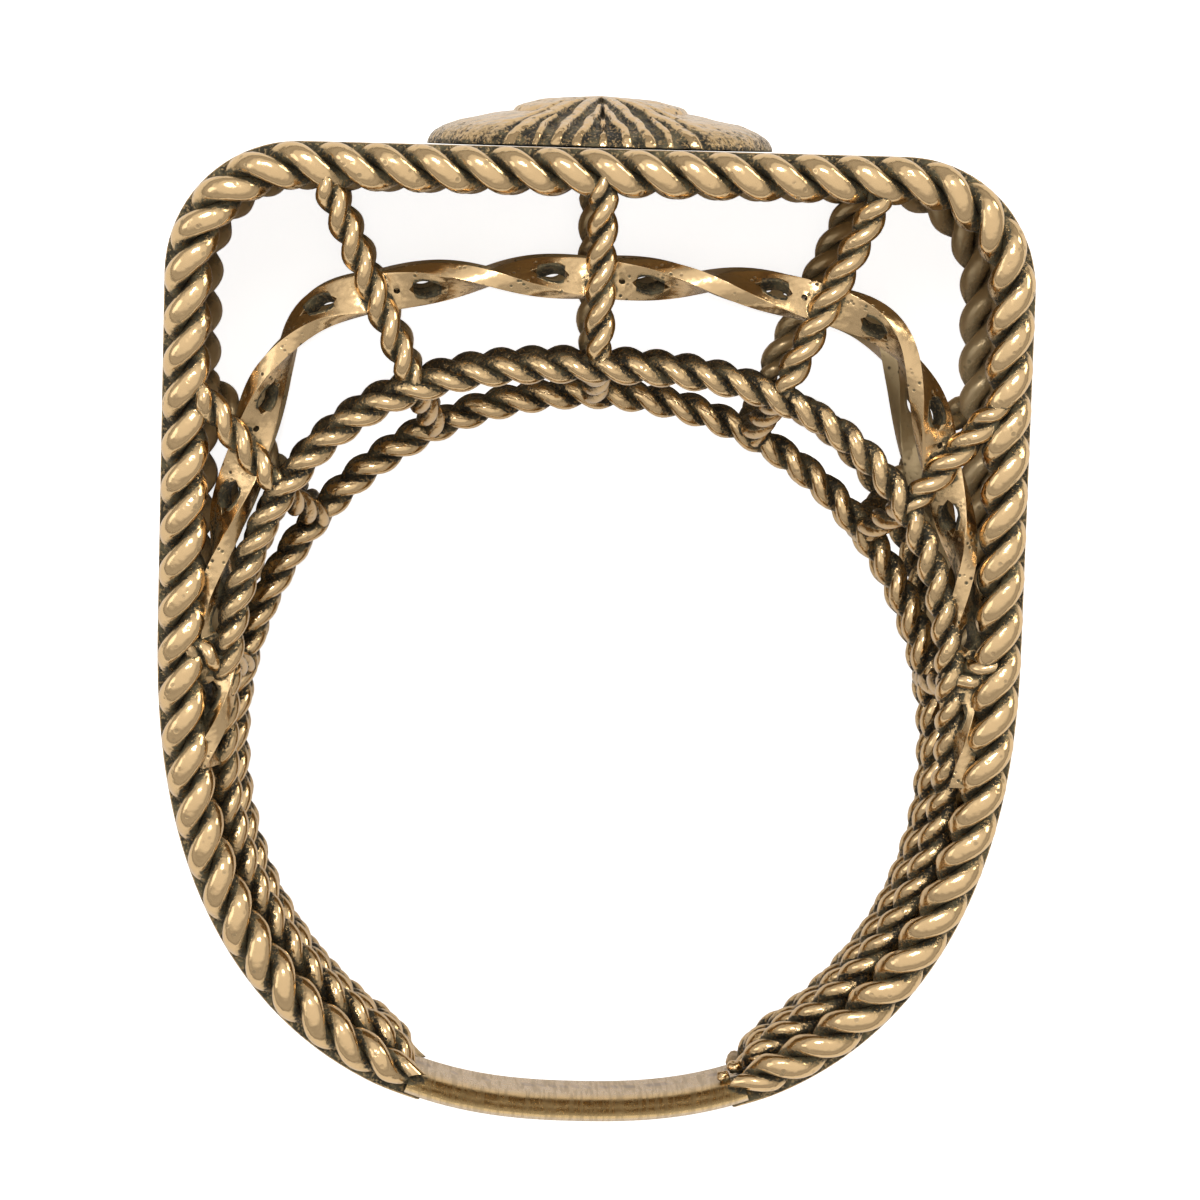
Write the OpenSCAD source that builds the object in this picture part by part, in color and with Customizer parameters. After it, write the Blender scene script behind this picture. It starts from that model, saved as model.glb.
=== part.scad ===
// Openwork ring, laid on one of its two open faces, so the finger's axis is nearly upright.
// It is worked out in the ring's own frame and laid down at the end:
// x across the finger, y from the foot up to the medallion, z along the finger.

/* [Finger hole] */
// Distance from the finger's axis to the middle of the two inner hoops
hoop_r = 8.8; // [8.6:0.05:8.9]
// Half width of the two flared mouth hoops
mouth_w = 9; // [8.9:0.05:9.1]
// Height of a mouth hoop's arch above the finger's axis
mouth_h = 9.5; // [9.3:0.05:9.8]
// Squareness of the arch, where 2 is an ellipse
mouth_square = 2.6; // [2.3:0.1:2.8]

/* [Outline] */
// Half of the ring's width, at its sides
side_w = 10.7; // [10.6:0.05:10.9]
// Height of the flat top above the finger's axis
top_h = 14.9; // [14.6:0.1:15.2]
// Depth of the foot below the finger's axis
foot_h = 9.5; // [9.4:0.05:9.7]
// Radius of the two upper corners
corner_r = 3.3; // [2.9:0.1:3.7]
// Height at which the sides begin to round in
round_h = 3; // [2.5:0.5:4]
// Squareness of the rounded lower half, where 2 is an ellipse
foot_square = 2.4; // [2.3:0.05:2.5]

/* [Depth along the finger] */
// Depth of the ring at its flat top
top_depth = 14; // [12:0.5:15]
// Depth of the plain shank
shank_depth = 5.2; // [5.1:0.1:5.6]

/* [Ropes] */
// Thickness of the three-strand rope that frames each face
frame_d = 1.2; // [1.1:0.05:1.3]
// Length of one full turn of a frame rope
frame_pitch = 3.2; // [2.8:0.1:3.6]
// Thickness of the two-strand rope of the hoops and ribs
thin_d = 0.74; // [0.7:0.02:0.8]
// Angle from the top to the first rib of each side
rib_first = 26.3; // [25.6:0.1:26.8]
// Angle from the top to the second rib
rib_second = 49.5; // [48.5:0.1:50.5]
// Angle from the top to the third rib
rib_third = 77.2; // [76.6:0.1:78]

/* [Ribbons] */
// Width of the twisted flat ribbon
ribbon_w = 0.95; // [0.8:0.05:1]
// Thickness of the ribbon
ribbon_t = 0.42; // [0.32:0.02:0.46]
// Length of each eye cut through the ribbon
eye_l = 0.95; // [0.8:0.05:1]
// Width of each eye
eye_w = 0.42; // [0.34:0.02:0.46]

/* [Band, shank and medallion] */
// Thickness of the plain sheet that closes the outside
sheet_t = 0.42; // [0.4:0.02:0.5]
// Half of the shank's width across the finger
shank_half = 4; // [3.8:0.1:4.2]
// Thickness of the shank
shank_t = 0.78; // [0.7:0.02:0.84]
// Radius of the medallion
medal_r = 4.25; // [3.9:0.05:4.4]
// Height of the medallion's rim
medal_rim = 0.4; // [0.34:0.02:0.6]
// Height of the medallion's crown
medal_h = 1.35; // [1.2:0.01:1.5]

/* [Hidden] */

bronze = [0.72, 0.55, 0.33];
dark_bronze = [0.62, 0.46, 0.27];

frame_r = frame_d / 2;
// The last stretch of a frame rope narrows to this share as it meets the shank.
end_taper = 0.82;
taper_l = 4.5;
// How far the frame ropes lie in from the outside of the sheet
rope_inset = 0.05;
thin_r = thin_d / 2;
// Half depth to the middle of a frame rope, at the flat top and at the foot
half_top = top_depth / 2 - frame_r;
half_foot = shank_depth / 2 - frame_r * end_taper + 0.1;
rope_in = frame_r + rope_inset;
rope_top = top_h - rope_in;
rope_foot = -foot_h + rope_in;
lean_slope = (half_top - half_foot) / (rope_top - rope_foot);
lean = atan(lean_slope);
half_axis = half_foot - rope_foot * lean_slope;
face_normal = [0, -sin(lean), cos(lean)];

// A face's plane leans, so its distance from the ring's middle grows with height.
function face_z(y) = half_axis + lean_slope * y;

// How far the ribs stand proud of the frame rope's middle, and how far the ribbon is sunk
rib_lift = 0.05;
rib_end_lift = 0.2;
ribbon_sink = 0.26;
// A mouth hoop dives behind the frame rope below this angle, over this many degrees
dive_start = 14;
dive_span = 24;
dive_depth = 1.05;
// Distance from the middle to an inner hoop, beside the top and beside the shank
inner_top = 1.8;
inner_foot = 0.36;

// Depth of the groove between strands, as a share of the rope's radius
frame_groove = 0.68;

// Points along a rounded stretch, distance between the rings of a sweep, and sides of a thin rope
fine = 18;
frame_step = 0.64;
hoop_step = 1.9;
ribbon_step = 0.8;
table_step = 0.3;
thin_sides = 5;

function unit(v) = v / norm(v);
function smooth(t) = let(c = max(0, min(1, t))) c * c * (3 - 2 * c);
function flip(pts) = [for (i = [len(pts) - 1:-1:0]) [-pts[i].x, pts[i].y, pts[i].z]];
function lengths(pts) = [for (i = 0, s = 0; i < len(pts);
    s = s + (i + 1 < len(pts) ? norm(pts[i + 1] - pts[i]) : 0), i = i + 1) s];

// The same line with rings evenly spaced, about one step apart
function even(pts, step) = let(
    at = lengths(pts),
    total = at[len(at) - 1],
    n = ceil(total / step),
    table = [for (k = [0:2]) [for (i = [0:len(pts) - 1]) [at[i], pts[i][k]]]]
) [for (i = [0:n]) [for (k = [0:2]) lookup(total * i / n, table[k])]];

// A point of a superellipse, t degrees round from its right end
function rounded(a, b, square, t) = [
    a * pow(abs(cos(t)), 2 / square), sign(sin(t)) * b * pow(abs(sin(t)), 2 / square)
];

// Right half of the ring's outline, drawn in by a distance: flat top, corner, side, rounded foot
function half_outline(inset, last) = concat(
    [[0, top_h - inset]],
    [for (i = [0:8]) [side_w - corner_r, top_h - corner_r]
        + (corner_r - inset) * [sin(90 * i / 8), cos(90 * i / 8)]],
    [for (i = [0:fine]) [0, round_h]
        + rounded(side_w - inset, round_h + foot_h - inset, foot_square, -last * i / fine)]
);

// How far round the foot a line at this inset runs before it meets the shank
function shank_turn(inset) = acos(pow(shank_half / (side_w - inset), foot_square / 2));

// Whole line over the top, from one end of the shank to the other, on the upper face
function over_top(half) = concat(flip([for (i = [1:len(half) - 1]) half[i]]), half);
frame_half = [for (p = half_outline(rope_in, shank_turn(rope_in))) [p.x, p.y, face_z(p.y)]];

// Where a line from the finger's axis at this angle crosses the right half of a line
function polar(pts) = [for (p = even(pts, table_step)) [atan2(p.y, p.x), norm([p.x, p.y])]];
function across(table, angle, short = 0) = (lookup(angle, table) - short) * [cos(angle), sin(angle)];
frame_polar = polar(frame_half);

// Ribs count from the middle one, 0, and are negative on the left.
// Each has its angle from the top, and how much further round its foot is than its head.
rib_at = [0, rib_first, rib_second, rib_third];
rib_splay = [0, 0.6, 2.8, 1.8];
last_rib = len(rib_at) - 1;

// Right half of a mouth hoop: an arch above the axis, a circle below it, ending at the shank
hoop_end = acos(shank_half / hoop_r) - 2;
function mouth_xy(t) = t > 0 ? rounded(mouth_w, mouth_h, mouth_square, t)
    : (mouth_w + (hoop_r - mouth_w) * smooth(-t / hoop_end)) * [cos(t), sin(t)];
function mouth_dive(t) = dive_depth * smooth((dive_start - t) / dive_span);
mouth_half = [for (i = [0:2 * fine]) let(
    t = 90 - (90 + hoop_end) * i / (2 * fine),
    p = mouth_xy(t)
) [p.x, p.y, face_z(p.y) - mouth_dive(t)]];
mouth_polar = polar(mouth_half);

// Right half of an inner hoop
function inner_z(y) = inner_foot + (inner_top - inner_foot) * (y + hoop_r) / (2 * hoop_r);
inner_half = [for (i = [0:2 * fine]) let(t = 90 - (90 + hoop_end) * i / (2 * fine))
    [hoop_r * cos(t), hoop_r * sin(t), inner_z(hoop_r * sin(t))]];

// Right half of the ribbon's line, as the places that it passes: across, up
ribbon_places = [[0, 11.7], [2.7, 11.65], [5.1, 11.3], [6.95, 10.7], [8, 9.2],
    [8.55, 7.2], [9.05, 5.4], [9.25, 3.7], [9.2, 1.8], [9.4, -0.6]];
function spline_at(p, i, f) = let(
    a = i == 0 ? [-p[1].x, p[1].y] : p[i - 1],
    b = p[i],
    c = p[i + 1],
    d = i + 2 < len(p) ? p[i + 2] : 2 * c - b
) (2 * b + (c - a) * f + (2 * a - 5 * b + 4 * c - d) * f * f + (3 * b - a - 3 * c + d) * f * f * f) / 2;
ribbon_half = [for (i = [0:len(ribbon_places) - 2]) for (k = [0:5])
    let(p = spline_at(ribbon_places, i, k / 6)) [p.x, p.y, face_z(p.y) - ribbon_sink]];
ribbon_polar = polar(ribbon_half);

// The ribbon turns over once between ribs, a little slower beside each of them.
flat_share = 6;
end_bay = 26;
bay_turns = concat([for (n = [0:last_rib]) [rib_at[n], 180 * n]],
    [[rib_at[last_rib] + end_bay, 180 * (last_rib + 1)]]);
function ribbon_turn(p) = let(a = atan2(p.x, p.y), turned = sign(a) * lookup(abs(a), bay_turns))
    turned - flat_share * sin(2 * turned);

// Rings of a sweep: each has its middle, its two cross directions, and its sections' points
function tangents(pts) = [for (i = [0:len(pts) - 1])
    unit(pts[min(i + 1, len(pts) - 1)] - pts[max(i - 1, 0)])];

// A bar along a line. Each ring's section is a list of [distance, angle] about the line.
// The skin's diagonals follow the way that it twists: right-handed where hand is 1.
module sweep(pts, ref, sections, hand = 1) {
    dirs = tangents(pts);
    sides = len(sections[0]);
    rings = [for (i = [0:len(pts) - 1]) let(
        u = unit(ref - (ref * dirs[i]) * dirs[i]),
        v = cross(dirs[i], u)
    ) for (q = sections[i]) pts[i] + q[0] * (cos(q[1]) * u + sin(q[1]) * v)];
    last = (len(pts) - 1) * sides;
    skin = [for (i = [0:len(pts) - 2]) for (k = [0:sides - 1]) let(
        a = i * sides + k,
        b = i * sides + (k + 1) % sides
    ) each hand > 0 ? [[a, a + sides, b], [b, a + sides, b + sides]]
        : [[a, a + sides, b + sides], [a, b + sides, b]]];
    ends = [[for (k = [0:sides - 1]) k], [for (k = [sides - 1:-1:0]) last + k]];
    polyhedron(rings, concat(skin, ends), convexity = 8);
}

// Section of a rope: a lobe for each strand with a groove between, turned by an angle
function rope_section(r, strands, groove, turn) = [for (k = [0:2 * strands - 1])
    [k % 2 == 0 ? r : r * groove, 180 * k / strands + turn]];

// A twisted rope along a line, right-handed where hand is 1
module rope(pts, ref, r, strands, groove, pitch, hand, taper) {
    at = lengths(pts);
    total = at[len(at) - 1];
    sweep(pts, ref, [for (s = at) rope_section(
        r * min(1, taper + (1 - taper) * min(s, total - s) / taper_l),
        strands, groove, hand * 360 * s / pitch
    )], hand);
}

// A plain round wire along a line
module wire(pts, ref, r) {
    sweep(pts, ref, [for (p = pts) [for (k = [0:thin_sides - 1]) [r, 360 * k / thin_sides]]]);
}

// A straight round bar between two places
module bar(a, b, r) {
    hull() for (p = [a, b]) translate(p) sphere(r, $fn = 5);
}

// The thick rope that frames one face
module frame_rope(hand) {
    rope(even(over_top(frame_half), frame_step), face_normal, frame_r, 3,
        frame_groove, frame_pitch, hand, end_taper);
}

// The flared hoop at the mouth of the finger hole
module mouth_hoop() {
    wire(even(over_top(mouth_half), hoop_step), face_normal, thin_r);
}

// One of the two hoops inside the finger hole
module inner_hoop() {
    wire(even(over_top(inner_half), hoop_step), [0, 0, 1], thin_r);
}

// The part of a rib that crosses a face, from the frame rope to the mouth hoop
module face_rib(n) {
    side = n < 0 ? -1 : 1;
    at = rib_at[abs(n)];
    splay = rib_splay[abs(n)] / 2;
    a = across(frame_polar, 90 - at + splay, thin_r);
    b = across(mouth_polar, 90 - at - splay);
    outer = [side * a.x, a.y, face_z(a.y) + rib_end_lift];
    inner = [side * b.x, b.y, face_z(b.y) + rib_lift];
    bar(outer, inner, thin_r);
}

// The part of a rib that lines the finger hole, from one mouth hoop to the other
module lining_rib(n) {
    side = n < 0 ? -1 : 1;
    turn = 90 - rib_at[abs(n)] - rib_splay[abs(n)] / 2;
    b = across(mouth_polar, turn);
    c = hoop_r * [cos(turn), sin(turn)];
    mouth = [side * b.x, b.y, face_z(b.y)];
    inner = [side * c.x, c.y, inner_z(c.y)];
    low = [1, 1, -1];
    line = [mouth, mouth * 0.5 + inner * 0.5, inner, [for (k = [0:2]) inner[k] * low[k]],
        [for (k = [0:2]) (mouth[k] + inner[k]) * low[k] / 2], [for (k = [0:2]) mouth[k] * low[k]]];
    wire(line, [-sin(turn), side * cos(turn), 0], thin_r);
}

// The flat ribbon that twists across one face behind the ribs, with an eye each side of a rib
module ribbon(hand) {
    pts = even(over_top(ribbon_half), ribbon_step);
    corner = atan2(ribbon_t, ribbon_w);
    reach = norm([ribbon_t, ribbon_w]) / 2;
    difference() {
        sweep(pts, face_normal, [for (p = pts) let(turn = 90 + hand * ribbon_turn(p))
            [for (k = [corner, 180 - corner, 180 + corner, -corner]) [reach, turn + k]]], hand);
        for (n = [-last_rib:last_rib]) for (s = [-1, 1])
            ribbon_eye(90 - sign(n) * rib_at[abs(n)] + s * eye_turn);
    }
}

// A pointed oval cut through the ribbon, this many degrees from a rib
eye_turn = 6.1;
module ribbon_eye(angle) {
    side = angle > 90 ? -1 : 1;
    turn = angle > 90 ? 180 - angle : angle;
    a = across(ribbon_polar, turn);
    b = across(ribbon_polar, turn - 2);
    run = atan2(b.y - a.y, side * (b.x - a.x));
    translate([side * a.x, a.y, face_z(a.y) - ribbon_sink]) rotate([0, 0, run])
        scale([eye_l, eye_w, 1]) cylinder(h = 2 * ribbon_w, d = 1, center = true, $fn = 6);
}

// Everything that lies in one open face, drawn on the upper one
module open_face(hand) {
    frame_rope(hand);
    mouth_hoop();
    inner_hoop();
    ribbon(hand);
    for (n = [-last_rib:last_rib]) face_rib(n);
}

// The plain sheet that closes the outside, from one open face to the other
module outer_sheet() {
    past = 0.1;
    low = -foot_h - 1;
    high = top_h + 1;
    last = shank_turn(0) + 7;
    outer = over_top([for (p = half_outline(0.02, last)) [p.x, p.y, 0]]);
    inner = over_top([for (p = half_outline(sheet_t, last)) [p.x, p.y, 0]]);
    intersection() {
        linear_extrude(2 * top_depth, center = true)
            polygon([for (p = concat(outer, [for (i = [len(inner) - 1:-1:0]) inner[i]])) [p.x, p.y]]);
        rotate([90, 0, 90]) linear_extrude(4 * side_w, center = true) polygon([
            for (s = [-1, 1]) for (y = s > 0 ? [high, low] : [low, high]) [y, s * (face_z(y) + past)]
        ]);
    }
}

// The plain half-round shank at the foot
module shank() {
    crown = shank_t;
    half = shank_depth / 2;
    // Section of the shank: across its depth, and out from its inner face
    section = [[-0.66, 0], [0.66, 0], [0.92, 0.2], [1, 0.5], [0.86, 0.8], [0.45, 1],
        [-0.45, 1], [-0.86, 0.8], [-1, 0.5], [-0.92, 0.2]];
    turn = shank_turn(0);
    half_line = [for (i = [0:6]) let(t = -90 + (90 - turn + 2) * i / 6)
        [0, round_h] + rounded(side_w, round_h + foot_h, foot_square, t)];
    line = concat([for (i = [6:-1:1]) [-half_line[i].x, half_line[i].y, 0]],
        [for (p = half_line) [p.x, p.y, 0]]);
    sweep(line, [0, 0, 1], [for (p = line) [for (q = section)
        let(z = half * q[0], out = crown * (q[1] - 1)) [norm([z, out]), atan2(out, z)]]]);
}

// All the soldered metal, as one piece
module cage() {
    color(bronze) lay_down() union() {
        open_face(1);
        mirror([0, 0, 1]) open_face(-1);
        for (n = [-last_rib:last_rib]) lining_rib(n);
        outer_sheet();
        shank();
    }
}

// The medallion: a low domed disc whose ribs fan out towards both open faces
medal_gap = 0.04;
medal_rings = 9;
medal_sectors = 48;
fan_half = 42;
function medal_dome(q) = medal_rim + (medal_h - medal_rim) * (1 - pow(q, 1.6));
function medal_fan(angle) = let(a = abs(((angle + 360) % 180) - 90)) a < fan_half ? 1 : 0;
function medal_relief(q, angle) = medal_fan(angle) * 0.12 * cos(angle * 24) * smooth(3 * (1 - q));
function medal_height(q, angle) = medal_dome(q) + medal_relief(q, angle);

module medallion() {
    step = 360 / medal_sectors;
    tops = [for (i = [1:medal_rings]) for (k = [0:medal_sectors - 1])
        let(q = i / medal_rings, a = k * step)
        [medal_r * q * cos(a), medal_r * q * sin(a), medal_height(q, a)]];
    under = [for (k = [0:medal_sectors - 1]) [1.02 * medal_r * cos(k * step),
        1.02 * medal_r * sin(k * step), 0]];
    pts = concat([[0, 0, medal_h]], tops, under);
    n = medal_sectors;
    cap = [for (k = [0:n - 1]) [0, 1 + (k + 1) % n, 1 + k]];
    skin = [for (i = [0:medal_rings - 1]) for (k = [0:n - 1]) let(
        a = 1 + i * n + k,
        b = 1 + i * n + (k + 1) % n
    ) each [[a, b, a + n], [b, b + n, a + n]]];
    base = [[for (k = [0:n - 1]) 1 + medal_rings * n + k]];
    color(dark_bronze) lay_down() translate([0, top_h + medal_gap, 0]) rotate([-90, 0, 0])
        polyhedron(pts, concat(cap, skin, base), convexity = 4);
}

// The ring rests on its lower face: it is turned by the lean, lifted to the floor and centred.
module lay_down() {
    reach_up = (top_h + medal_h) * cos(lean) + sin(lean) * medal_r / 3;
    reach_down = foot_h * cos(lean) + face_z(-foot_h) * sin(lean);
    translate([0, (reach_down - reach_up) / 2, half_axis * cos(lean) + frame_r])
        rotate([lean, 0, 0]) children();
}

cage();
medallion();
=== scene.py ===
"""Openwork ring of antiqued bronze: twisted ropes, ribbons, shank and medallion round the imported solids."""

import logging
import math
from collections.abc import Iterator
from contextlib import contextmanager
from dataclasses import dataclass, field
from enum import Enum

import bpy
import numpy as np
from mathutils import Matrix, Vector
from mathutils.bvhtree import BVHTree


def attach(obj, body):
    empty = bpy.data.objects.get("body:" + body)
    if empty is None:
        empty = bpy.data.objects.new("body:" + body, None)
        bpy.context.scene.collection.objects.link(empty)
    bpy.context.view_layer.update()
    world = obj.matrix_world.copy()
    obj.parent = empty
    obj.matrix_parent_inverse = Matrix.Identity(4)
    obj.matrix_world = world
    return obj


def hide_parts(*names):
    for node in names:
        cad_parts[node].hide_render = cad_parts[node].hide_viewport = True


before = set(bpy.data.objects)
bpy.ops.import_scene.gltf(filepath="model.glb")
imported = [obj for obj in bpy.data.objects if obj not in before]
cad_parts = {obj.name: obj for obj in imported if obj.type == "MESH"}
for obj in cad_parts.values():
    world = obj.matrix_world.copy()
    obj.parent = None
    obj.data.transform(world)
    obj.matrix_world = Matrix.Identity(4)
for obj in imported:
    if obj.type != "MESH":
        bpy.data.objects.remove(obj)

logging.basicConfig(level=logging.INFO, format="%(levelname)s %(message)s")
LOG = logging.getLogger("openwork_ring")

MM = 0.001
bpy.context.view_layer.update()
SHARP = math.radians(50)
SMOOTH = math.radians(42)

Array = np.ndarray
Pair = tuple[float, float]
Pairs = tuple[Pair, ...]
Triple = tuple[float, float, float]
Mesh = bpy.types.Object
Socket = bpy.types.NodeSocket


class Face(Enum):
    """The two open faces of the ring, as the sign of their side."""

    UPPER = 1
    LOWER = -1


class Rubbed(Enum):
    """Which way a piece was rubbed bright when the ring was polished; its sides that face away get patina and
    partly painted shade.
    """

    FACE = "face"
    FINGER = "finger"
    OUTSIDE = "outside"
    ALL = "all"


def ease(share: Array | float) -> Array:
    """Smooth step from 0 to 1, of numbers that are first held between the two."""
    held = np.clip(share, 0.0, 1.0)
    return held * held * (3.0 - 2.0 * held)


def rounded(a: float, b: float, square: float, turn: Array) -> Array:
    """Points of a superellipse of half sizes a and b, square where 2 is an ellipse, at angles in degrees."""
    way = np.stack([np.cos(np.radians(turn)), np.sin(np.radians(turn))], 1)
    return (a, b) * np.sign(way) * np.abs(way) ** (2 / square)


def run_lengths(points: Array) -> Array:
    """Distance along a line at each of its points."""
    steps = np.linalg.norm(np.diff(points, axis=0), axis=1)
    return np.concatenate([[0.0], np.cumsum(steps)])


def evenly(points: Array, step: float) -> Array:
    """The same line with its points evenly spaced.

    Args:
        points: The line's points.
        step: About how far apart the new points are.

    Returns:
        The new points.
    """
    at = run_lengths(points)
    count = max(3, int(math.ceil(at[-1] / step)) + 1)
    wanted = np.linspace(0.0, at[-1], count)
    return np.stack([np.interp(wanted, at, points[:, k]) for k in range(points.shape[1])], 1)


def taper(line: Array, end: float, reach: float) -> Array:
    """Shares of a rope's thickness that narrow it over a reach to this share at both ends of its line."""
    at = run_lengths(line)
    return end + (1 - end) * np.clip(np.minimum(at, at[-1] - at) / reach, 0, 1)


@dataclass(frozen=True)
class RingForm:
    """The ring's main lines in millimetres, upright: x across the finger, y up, z along the finger."""

    hoop_r: float = 8.8
    mouth_w: float = 9.0
    mouth_h: float = 9.5
    mouth_square: float = 2.6
    side_w: float = 10.7
    top_h: float = 14.9
    foot_h: float = 9.5
    corner_r: float = 3.3
    round_h: float = 3.0
    foot_square: float = 2.4
    top_depth: float = 14.0
    shank_depth: float = 5.2
    shank_half: float = 4.0
    frame_r: float = 0.6
    # How far the frame rope's line lies in from the outside, and how far the dressed rope is moved back out
    rope_in: float = 0.65
    rope_out: float = 0.03
    end_taper: float = 0.82
    foot_lift: float = 0.1
    medal_h: float = 1.35
    medal_r: float = 4.25
    # Angle of each rib from the top, and how much more that is at its foot than at its head
    rib_at: tuple[float, ...] = (0.0, 26.3, 49.5, 77.2)
    rib_splay: tuple[float, ...] = (0.0, 0.6, 2.8, 1.8)
    end_bay: float = 26.0
    # Angle where a mouth hoop starts to dive behind the frame rope, over how many degrees, and how deep
    dive: Triple = (14.0, 24.0, 1.05)
    # Distance of an inner hoop from the middle, beside the shank and beside the top
    inner: Pair = (0.36, 1.8)
    # How many degrees the hoops run on into the shank, over how many they sink in it, and how deep
    hoop_past: float = 3.0
    end_span: float = 9.0
    end_sink: float = 0.75
    ribbon_sink: float = 0.26
    ribbon_places: Pairs = (
        (0, 11.7), (2.7, 11.65), (5.1, 11.3), (6.95, 10.7), (8, 9.2),
        (8.55, 7.2), (9.05, 5.4), (9.25, 3.7), (9.2, 1.8), (9.4, -0.6),
    )

    @property
    def half_foot(self) -> float:
        """Half depth to the middle of a frame rope at the foot."""
        return self.shank_depth / 2 - self.frame_r * self.end_taper + self.foot_lift

    @property
    def slope(self) -> float:
        """How fast a face's distance from the middle grows with height."""
        rise = self.top_h - self.rope_in + self.foot_h - self.rope_in
        return (self.top_depth / 2 - self.frame_r - self.half_foot) / rise

    @property
    def half_axis(self) -> float:
        """Distance of a face from the middle at the finger's axis."""
        return self.half_foot + (self.foot_h - self.rope_in) * self.slope

    @property
    def hoop_end(self) -> float:
        """Angle below the finger's axis at which the hoops end in the shank."""
        return math.degrees(math.acos(self.shank_half / self.hoop_r)) + self.hoop_past

    def face_z(self, y: Array | float) -> Array | float:
        """Distance of a face from the middle at a height."""
        return self.half_axis + self.slope * y

    def settle_matrix(self) -> Matrix:
        """Works out how the upright ring lies down.

        Returns:
            The matrix that lays it on its lower face and turns millimetres to metres.
        """
        lean = math.atan(self.slope)
        reach_up = (self.top_h + self.medal_h) * math.cos(lean) + math.sin(lean) * self.medal_r / 3
        reach_down = self.foot_h * math.cos(lean) + self.face_z(-self.foot_h) * math.sin(lean)
        lift = Vector((0, (reach_down - reach_up) / 2, self.half_axis * math.cos(lean) + self.frame_r))
        return Matrix.Scale(MM, 4) @ Matrix.Translation(lift) @ Matrix.Rotation(lean, 4, "X")

    def shank_turn(self, inset: float) -> float:
        """Angle round the foot, in degrees, at which a line at this inset meets the shank."""
        return math.degrees(math.acos((self.shank_half / (self.side_w - inset)) ** (self.foot_square / 2)))

    def foot(self, inset: float, turn: Array) -> Array:
        """Points of the rounded foot, drawn in by a distance, at angles in degrees from its right end."""
        half_w, half_h = self.side_w - inset, self.round_h + self.foot_h - inset
        return rounded(half_w, half_h, self.foot_square, turn) + (0.0, self.round_h)

    def half_outline(self, inset: float, last: float) -> Array:
        """Right half of the outline: top, corner, side and rounded foot.

        Args:
            inset: Distance by which it is drawn in.
            last: Angle round the foot at which it ends.

        Returns:
            An array of x and y.
        """
        turn = np.radians(np.linspace(0, 90, 25))
        corner = np.stack([np.sin(turn), np.cos(turn)], 1) * (self.corner_r - inset)
        corner += (self.side_w - self.corner_r, self.top_h - self.corner_r)
        foot = self.foot(inset, -last * np.linspace(0, 1, 97) ** 1.2)
        return np.concatenate([[[0.0, self.top_h - inset]], corner, foot])

    @staticmethod
    def over_top(half: Array) -> Array:
        """Whole line from its left end over the top to its right end."""
        left = half[:0:-1] * ([-1.0] + [1.0] * (half.shape[1] - 1))
        return np.concatenate([left, half])

    def frame_half(self) -> Array:
        """Works out the right half of a frame rope's line.

        Returns:
            The line's points.
        """
        inset = self.rope_in - self.rope_out
        flat = self.half_outline(inset, self.shank_turn(inset))
        return np.column_stack([flat, self.face_z(flat[:, 1])])

    def hoop_turns(self) -> tuple[Array, Array]:
        """Angles down a hoop's right half, and how far the hoop has sunk into the shank at each."""
        turn = 90 - (90 + self.hoop_end) * np.linspace(0, 1, 161)
        return turn, self.end_sink * ease((-turn - self.hoop_end + self.end_span) / self.end_span)

    def mouth_half(self) -> Array:
        """Works out the right half of a mouth hoop's line, which dives behind the frame rope lower down.

        Returns:
            The line's points.
        """
        turn, sunk = self.hoop_turns()
        arch = rounded(self.mouth_w, self.mouth_h, self.mouth_square, turn)
        radius = self.mouth_w + (self.hoop_r - self.mouth_w) * ease(-turn / self.hoop_end) + sunk
        low = rounded(1.0, 1.0, 2.0, turn) * radius[:, None]
        flat = np.where((turn > 0)[:, None], arch, low)
        start, span, depth = self.dive
        return np.column_stack([flat, self.face_z(flat[:, 1]) - depth * ease((start - turn) / span)])

    def inner_half(self) -> Array:
        """Works out the right half of an inner hoop's line.

        Returns:
            The line's points.
        """
        turn, sunk = self.hoop_turns()
        way = rounded(1.0, 1.0, 2.0, turn)
        foot, top = self.inner
        height = foot + (top - foot) * (way[:, 1] + 1) / 2
        return np.column_stack([way * (self.hoop_r + sunk)[:, None], height])

    def ribbon_half(self) -> Array:
        """Works out the right half of a ribbon's line, a smooth curve through its places.

        Returns:
            The line's points.
        """
        p = np.array(self.ribbon_places, float)
        p = np.concatenate([[[-p[1, 0], p[1, 1]]], p, [2 * p[-1] - p[-2]]])
        f = np.arange(16)[:, None] / 16
        rows = []
        for a, b, c, d in zip(p, p[1:], p[2:], p[3:]):
            curve = (2 * a - 5 * b + 4 * c - d) * f**2 + (3 * b - a - 3 * c + d) * f**3
            rows.append((2 * b + (c - a) * f + curve) / 2)
        flat = np.concatenate(rows + [p[-2:-1]])
        return np.column_stack([flat, self.face_z(flat[:, 1]) - self.ribbon_sink])

    @staticmethod
    def across(half: Array, angle: float, short: float = 0.0) -> Array:
        """Where a line from the finger's axis at an angle crosses a line, drawn short by a distance.

        Args:
            half: Right half of the line.
            angle: Angle in degrees, 90 at the top.
            short: Distance by which the place is drawn in to the axis.

        Returns:
            The place's x, y and z.
        """
        turn = 180 - angle if angle > 90 else angle
        line = evenly(half, 0.05)
        at = np.degrees(np.arctan2(line[:, 1], line[:, 0]))
        order = np.argsort(at)
        radius = np.interp(turn, at[order], np.linalg.norm(line[order, :2], axis=1)) - short
        height = np.interp(turn, at[order], line[order, 2])
        x, y = radius * math.cos(math.radians(turn)), radius * math.sin(math.radians(turn))
        return np.array([-x if angle > 90 else x, y, height])

    def ribs(self) -> range:
        """Numbers of the ribs from left to right, 0 for the middle one."""
        return range(1 - len(self.rib_at), len(self.rib_at))

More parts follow.
